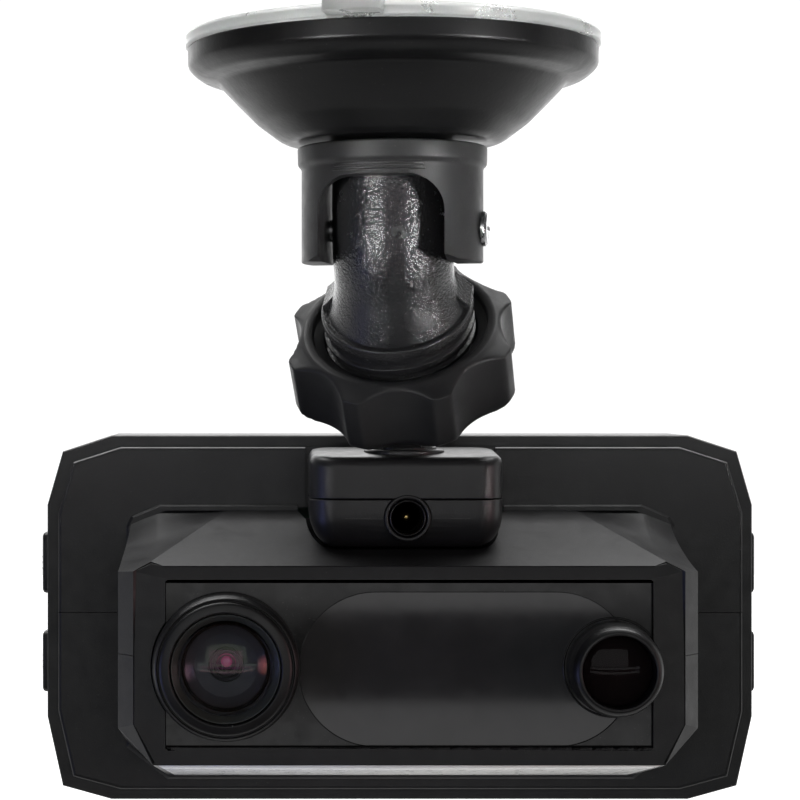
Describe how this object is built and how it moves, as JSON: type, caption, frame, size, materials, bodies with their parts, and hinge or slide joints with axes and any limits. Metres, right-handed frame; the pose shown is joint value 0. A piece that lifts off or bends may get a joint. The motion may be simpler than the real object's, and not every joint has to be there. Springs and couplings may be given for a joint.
{
  "type": "windscreen radar detector",
  "caption": "Windscreen radar and laser detector with a dash camera, held by a magnetic powered dock on a ball-jointed arm with a lever-locked suction cup.",
  "frame": {"origin": "middle of the gel cup's suction face, on the glass", "axes": "+Z into the glass, -Y towards the road, the way that the camera looks, +X to the right seen from the road"},
  "size_m": [0.1118, 0.0745, 0.1167],
  "materials": {
    "gel": "clear soft gel with a faint sheen",
    "mount_plastic": "black moulded plastic, fine grain, slight sheen",
    "arm_plastic": "black moulded plastic, orange-peel gloss",
    "casing_plastic": "black casing plastic, fine spark-erosion grain",
    "dock_plastic": "black casing plastic, fine grain",
    "bezel_plastic": "black satin plastic",
    "gloss_black": "piano black",
    "window_plastic": "smoked, infrared-clear plastic, glossy",
    "barrel_plastic": "black, satin to gloss, turned",
    "ring_metal": "black anodised ring, turned",
    "coated_glass": "coated lens glass, violet and magenta reflections",
    "laser_glass": "dark filter glass",
    "display_glass": "black cover glass",
    "steel": "plated steel",
    "gold_contact": "gold-plated contact",
    "circuit_board": "green solder mask",
    "nickel": "nickel-plated magnet",
    "cast_metal": "die-cast zinc",
    "patch_ceramic": "fired ceramic patch with a silvered face",
    "battery_wrap": "blue film wrap",
    "speaker_cone": "black speaker capsule",
    "card_plastic": "black memory card",
    "seat_nylon": "firm friction pad"
  },
  "bodies": {
    "mount": {"suction_cup": "gel", "suction_bell": "mount_plastic", "release_spring": "steel", "arm_elbow": "arm_plastic"},
    "stem": {"cup_stem": "mount_plastic", "lever_pin": "steel"},
    "lever": {"lock_lever": "mount_plastic"},
    "nut": {"clamp_nut": "mount_plastic"},
    "seat": {"ball_seat": "seat_nylon"},
    "ball": {"ball_stud": "arm_plastic"},
    "dock": {"dock_top_cover": "dock_plastic", "dock_lower_shell": "dock_plastic", "power_jack_sleeve": "steel", "power_jack_contact": "gold_contact", "dock_board": "circuit_board", "dock_magnets": "nickel", "dock_contact_pins": "gold_contact", "dock_screws": "steel"},
    "button_lu": {"button_left_upper": "casing_plastic"},
    "button_ll": {"button_left_lower": "casing_plastic"},
    "button_ru": {"button_right_upper": "casing_plastic"},
    "button_rl": {"button_right_lower": "casing_plastic"},
    "card": {"memory_card": "card_plastic"},
    "device": {"rear_shell": "casing_plastic", "front_shell_upper": "casing_plastic", "front_shell_lower": "casing_plastic", "front_bezel": "bezel_plastic", "front_panel": "gloss_black", "sensor_window": "window_plastic", "camera_barrel": "barrel_plastic", "lens_retaining_ring": "ring_metal", "camera_lens": "coated_glass", "lens_cell": "barrel_plastic", "rear_lens_group": "coated_glass", "image_sensor_board": "circuit_board", "laser_barrel": "barrel_plastic", "laser_lens": "laser_glass", "laser_sensor_board": "circuit_board", "radar_horn": "cast_metal", "radar_board": "circuit_board", "gps_antenna": "patch_ceramic", "main_board": "circuit_board", "battery": "battery_wrap", "speaker": "speaker_cone", "device_magnets": "nickel", "contact_pads": "gold_contact", "display_glass": "display_glass", "display_module": "speaker_cone", "button_switches": "steel", "card_socket": "steel", "case_screws": "steel"}
  },
  "joints": [
    {"name": "stem_slide", "type": "slide", "parent": "mount", "child": "stem", "axis": [0, 0, 1], "range_m": [0, 0.0022], "deforming": ["release_spring"]},
    {"name": "lever_turn", "type": "hinge", "parent": "stem", "child": "lever", "pos_m": [0, 0, -0.0292], "axis": [0.9744, -0.225, 0], "range_deg": [0, 80.2]},
    {"name": "nut_turn", "type": "hinge", "parent": "mount", "child": "nut", "pos_m": [0.00236, 0.01023, -0.0477], "axis": [-0.1446, -0.6263, 0.766], "range_deg": [-270, 10]},
    {"name": "ball_spin", "type": "hinge", "parent": "mount", "child": "seat", "pos_m": [0.00236, 0.01023, -0.0477], "axis": [-0.1446, -0.6263, 0.766], "range_deg": [-45, 45]},
    {"name": "ball_tilt", "type": "hinge", "parent": "seat", "child": "ball", "pos_m": [0.00236, 0.01023, -0.0477], "axis": [0.9744, -0.225, 0], "range_deg": [0, 60]},
    {"name": "dock_swivel", "type": "hinge", "parent": "ball", "child": "dock", "pos_m": [0.00236, 0.01023, -0.0477], "axis": [0, 0, 1], "range_deg": [-45, 45]},
    {"name": "device_release", "type": "slide", "parent": "dock", "child": "device", "axis": [0, 0, -1], "range_m": [0, 0.02]},
    {"name": "press_left_upper", "type": "slide", "parent": "device", "child": "button_lu", "axis": [1, 0, 0], "range_m": [0, 0.0004], "stiffness_N_per_m": 1500, "springref_m": -0.0002},
    {"name": "press_left_lower", "type": "slide", "parent": "device", "child": "button_ll", "axis": [1, 0, 0], "range_m": [0, 0.0004], "stiffness_N_per_m": 1500, "springref_m": -0.0002},
    {"name": "press_right_upper", "type": "slide", "parent": "device", "child": "button_ru", "axis": [-1, 0, 0], "range_m": [0, 0.0004], "stiffness_N_per_m": 1500, "springref_m": -0.0002},
    {"name": "press_right_lower", "type": "slide", "parent": "device", "child": "button_rl", "axis": [-1, 0, 0], "range_m": [0, 0.0004], "stiffness_N_per_m": 1500, "springref_m": -0.0002},
    {"name": "card_eject", "type": "slide", "parent": "device", "child": "card", "axis": [0, 0, -1], "range_m": [0, 0.012]}
  ],
  "couplings": [
    {"joint": "lever_turn", "follows": "stem_slide", "rad_per_m": 634.66}
  ]
}
